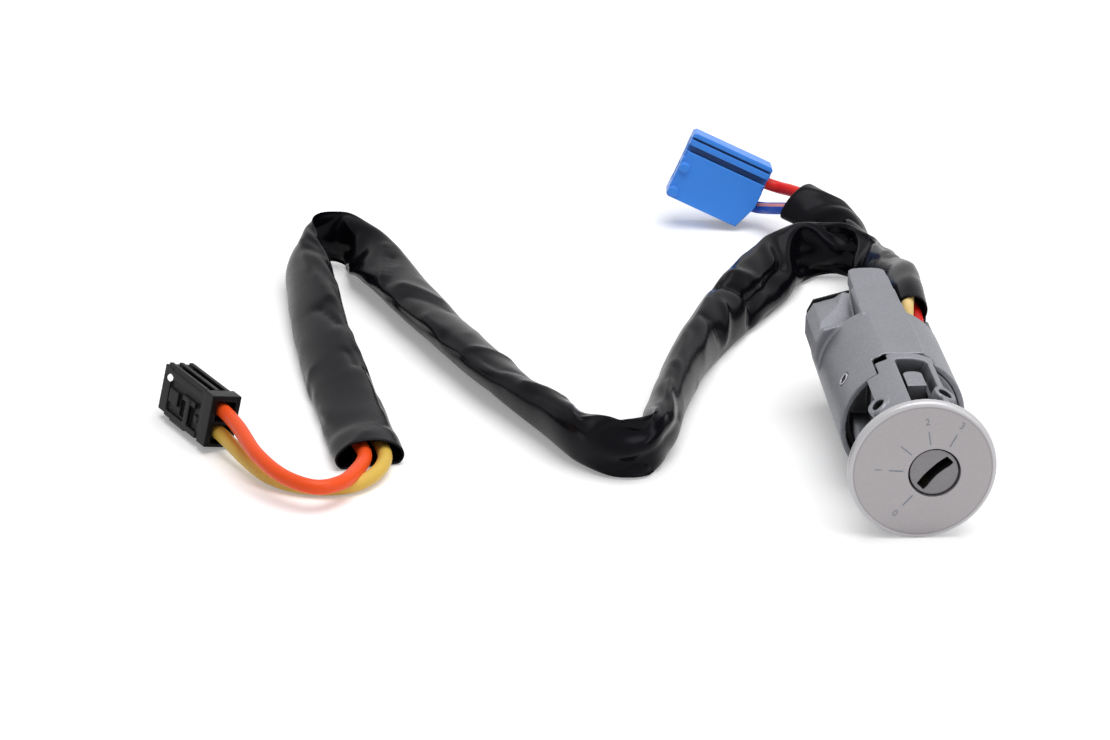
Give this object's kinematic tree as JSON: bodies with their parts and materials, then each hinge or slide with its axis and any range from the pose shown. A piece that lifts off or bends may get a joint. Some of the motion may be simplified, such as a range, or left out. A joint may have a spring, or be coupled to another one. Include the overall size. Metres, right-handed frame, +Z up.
{
  "type": "ignition switch",
  "caption": "Car ignition lock with round face and key plug, die-cast barrel, rear electrical switch and a sleeved harness with blue and black connectors.",
  "frame": {"origin": "under the middle of the lock, on the surface that its rim and foot rest on", "axes": "+Y along the lock's axis from the face towards the switch, +X to the right seen from the face, +Z up"},
  "size_m": [0.2207, 0.2425, 0.038],
  "materials": {
    "zinc_casting": "matte die-cast zinc",
    "face_paint": "satin silver paint",
    "plug_metal": "satin",
    "spring_steel": "satin",
    "brass": "satin",
    "black_plastic": "satin",
    "black_sleeving": "glossy soft sleeving",
    "rotor_plastic": "matte",
    "terminal_board": "matte",
    "blue_plastic": "satin",
    "orange_insulation": "gloss",
    "yellow_insulation": "gloss",
    "red_insulation": "gloss",
    "blue_insulation": "gloss",
    "cream_insulation": "gloss"
  },
  "bodies": {
    "lock": {"lock_housing": "zinc_casting", "barrel_carrier": "zinc_casting", "face_cap": "face_paint", "side_roll_pin": "spring_steel", "return_spring": "spring_steel", "catch_spring": "spring_steel", "bolt_spring": "spring_steel", "switch_housing": "black_plastic", "fixed_contacts": "brass", "terminal_plate": "terminal_board", "switch_cover": "black_plastic", "switch_screws": "spring_steel", "sleeve_main": "black_sleeving", "sleeve_branch": "black_sleeving", "tail_cream": "cream_insulation", "tail_red": "red_insulation", "wire_red": "red_insulation", "wire_blue": "blue_insulation", "blue_connector": "blue_plastic", "blue_terminals": "brass", "wire_orange": "orange_insulation", "wire_yellow": "yellow_insulation", "black_connector": "black_plastic", "black_terminals": "brass"},
    "rotor": {"key_plug": "plug_metal", "wafers": "brass", "plug_clip": "spring_steel", "drive_shaft": "plug_metal", "contact_rotor": "rotor_plastic", "moving_contact": "brass"},
    "catch": {"retainer_catch": "zinc_casting"},
    "bolt": {"lock_bolt": "spring_steel"}
  },
  "joints": [
    {"name": "plug_turn", "type": "hinge", "parent": "lock", "child": "rotor", "pos_m": [0.003, 0, 0.0184], "axis": [0, 1, 0], "range_deg": [0, 165]},
    {"name": "catch_press", "type": "slide", "parent": "lock", "child": "catch", "axis": [0, 0, -1], "range_m": [0, 0.0024], "stiffness_N_per_m": 400, "deforming": ["catch_spring"]},
    {"name": "bolt_slide", "type": "slide", "parent": "lock", "child": "bolt", "axis": [1, 0, 0], "range_m": [0, 0.008]}
  ]
}
